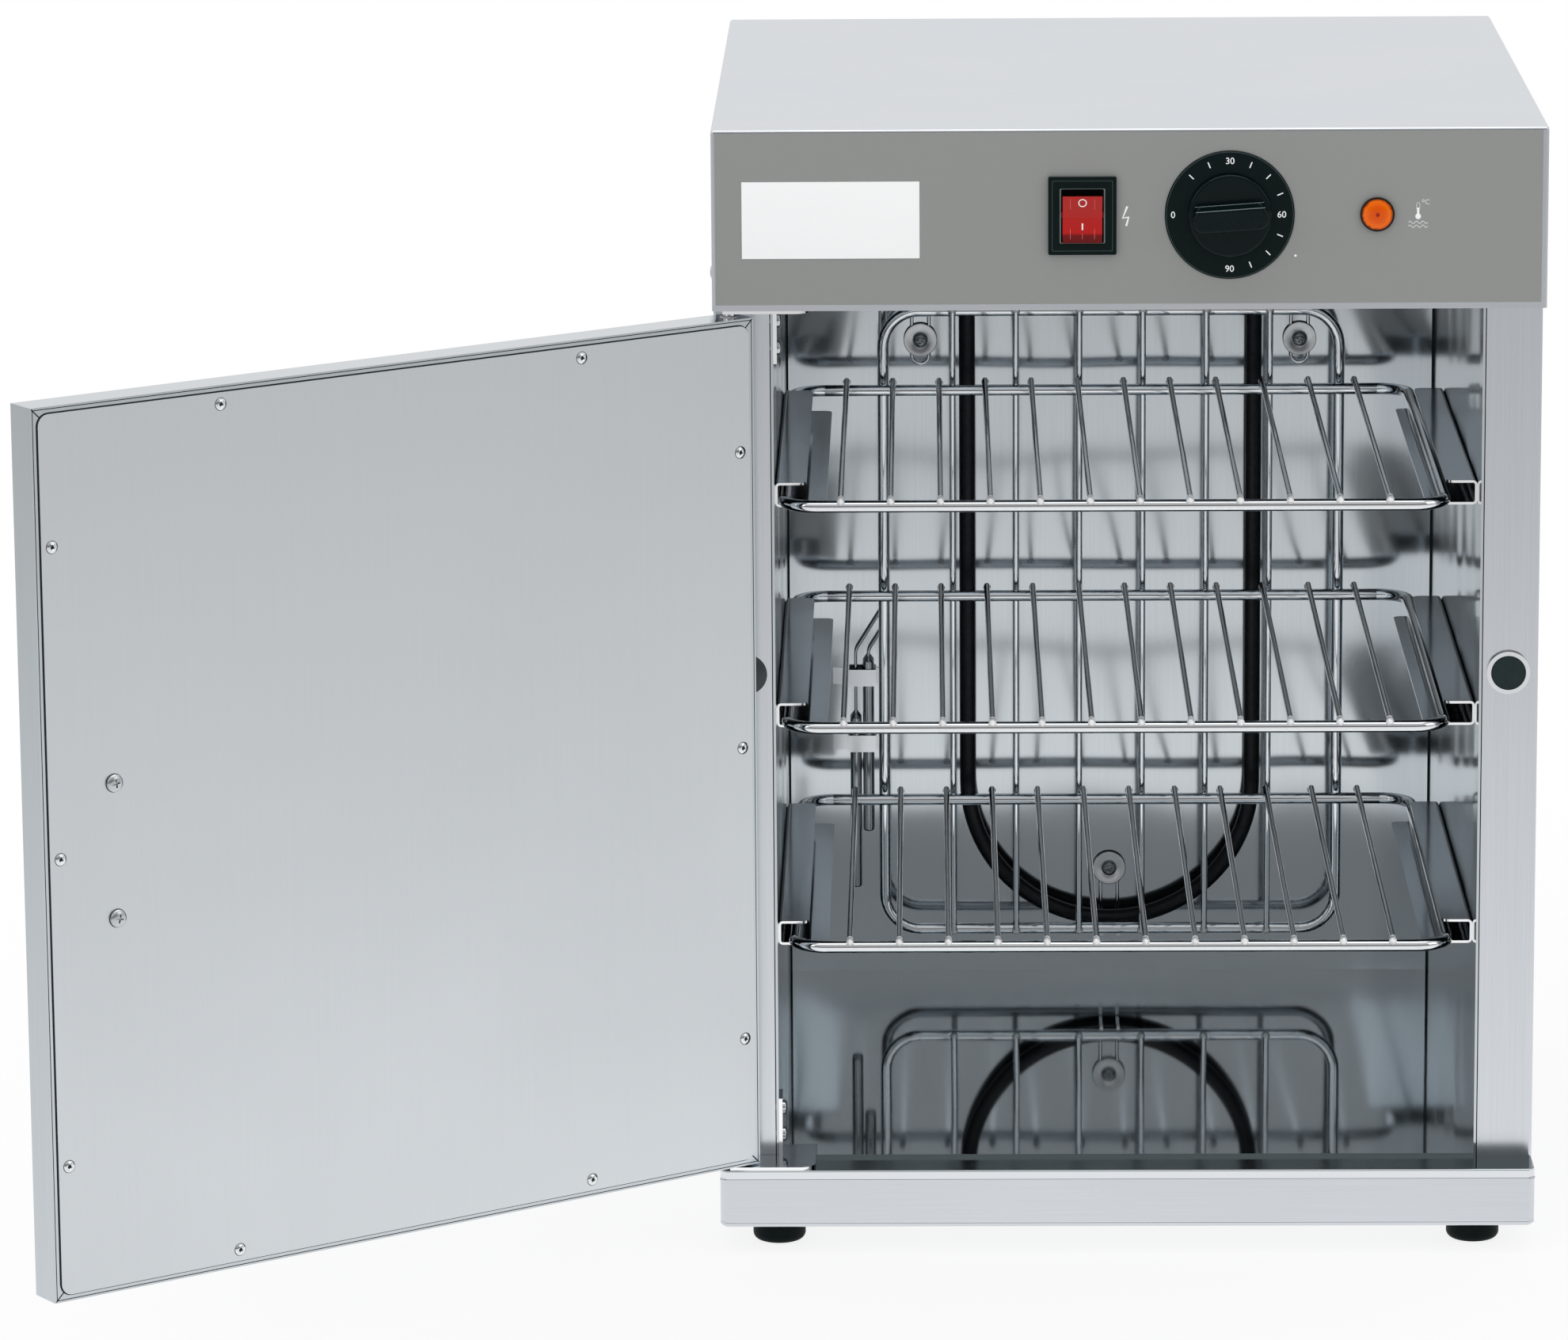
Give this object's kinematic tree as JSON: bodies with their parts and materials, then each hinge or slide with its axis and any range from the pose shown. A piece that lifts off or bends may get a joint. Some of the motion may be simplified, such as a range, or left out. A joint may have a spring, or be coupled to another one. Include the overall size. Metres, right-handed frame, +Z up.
{
  "type": "plate warmer cabinet",
  "caption": "Insulated stainless steel plate warmer cabinet with an open hinged door, sliding wire shelves, guarded heating element, dial thermostat and rocker switch.",
  "frame": {"origin": "on the worktop under the middle of the casing", "axes": "+Z up, +Y to the back, +X to the right of someone who faces the door opening"},
  "size_m": [0.7154, 0.6457, 0.558],
  "materials": {
    "satin_steel": "satin",
    "polished_steel": "polished",
    "chrome_wire": "bright",
    "screw_steel": "bright zinc",
    "foot_rubber": "matt",
    "overlay_grey": "satin film",
    "black_plastic": "semi-gloss",
    "rocker_red": "gloss",
    "lamp_amber": "clear gloss",
    "lamp_bezel_black": "gloss",
    "plug_grey": "matt",
    "element_black": "dark oxide",
    "ceramic": "matt",
    "capillary_copper": "satin copper",
    "shaft_steel": "turned",
    "magnet_black": "ferrite",
    "lagging": "mineral wool",
    "bearing_plastic": "natural",
    "lead_cover": "silicone sleeve"
  },
  "bodies": {
    "cabinet": {"base_pan": "satin_steel", "left_side_panel": "satin_steel", "right_side_panel": "satin_steel", "back_panel": "satin_steel", "header_shell": "satin_steel", "base_cover": "polished_steel", "cavity_left_wall": "polished_steel", "cavity_right_wall": "polished_steel", "cavity_back_wall": "polished_steel", "cavity_floor": "polished_steel", "cavity_ceiling": "polished_steel", "upper_left_runner": "polished_steel", "upper_right_runner": "polished_steel", "middle_left_runner": "polished_steel", "middle_right_runner": "polished_steel", "lower_left_runner": "polished_steel", "lower_right_runner": "polished_steel", "hinge_bracket_lower": "polished_steel", "hinge_bracket_upper": "polished_steel", "sensor_clips": "polished_steel", "wire_guard": "chrome_wire", "magnet_housing": "chrome_wire", "foot_screws": "screw_steel", "back_panel_screws": "screw_steel", "header_screws": "screw_steel", "runner_rivets": "screw_steel", "guard_fixings": "screw_steel", "hinge_screws": "screw_steel", "feet": "foot_rubber", "control_panel": "overlay_grey", "switch_frame": "black_plastic", "switch_body": "black_plastic", "terminal_block": "black_plastic", "cable_gland": "black_plastic", "dial_ring": "black_plastic", "lamp_lens": "lamp_amber", "lamp_bezel": "lamp_bezel_black", "column_plug": "plug_grey", "heating_element": "element_black", "heater_bushings": "ceramic", "thermostat_body": "ceramic", "limit_thermostat": "ceramic", "thermostat_sensor": "capillary_copper", "limit_sensor": "capillary_copper", "magnet_disc": "magnet_black", "insulation": "lagging", "wiring": "lead_cover"},
    "door": {"door_outer_pan": "satin_steel", "door_inner_panel": "satin_steel", "door_insulation": "lagging", "door_rivets": "screw_steel", "door_handle": "chrome_wire", "handle_screws": "screw_steel", "door_bushes": "bearing_plastic"},
    "thermostat_knob": {"thermostat_knob": "black_plastic", "thermostat_shaft": "shaft_steel"},
    "rocker": {"rocker": "rocker_red"},
    "shelf_upper": {"shelf_upper": "chrome_wire"},
    "shelf_middle": {"shelf_middle": "chrome_wire"},
    "shelf_lower": {"shelf_lower": "chrome_wire"}
  },
  "joints": [
    {"name": "door_hinge", "type": "hinge", "parent": "cabinet", "child": "door", "pos_m": [-0.1918, -0.1904, 0.2556], "axis": [0, 0, -1], "range_deg": [-144, 36]},
    {"name": "thermostat_turn", "type": "hinge", "parent": "cabinet", "child": "thermostat_knob", "pos_m": [0.0479, -0.2005, 0.5164], "axis": [0, 1, 0], "range_deg": [-176, 94]},
    {"name": "rocker_tilt", "type": "hinge", "parent": "cabinet", "child": "rocker", "pos_m": [-0.0225, -0.1987, 0.5164], "axis": [1, 0, 0], "range_deg": [-20, 0]},
    {"name": "shelf_upper_slide", "type": "slide", "parent": "cabinet", "child": "shelf_upper", "axis": [0, -1, 0], "range_m": [0, 0.3]},
    {"name": "shelf_middle_slide", "type": "slide", "parent": "cabinet", "child": "shelf_middle", "axis": [0, -1, 0], "range_m": [0, 0.3]},
    {"name": "shelf_lower_slide", "type": "slide", "parent": "cabinet", "child": "shelf_lower", "axis": [0, -1, 0], "range_m": [0, 0.3]}
  ]
}
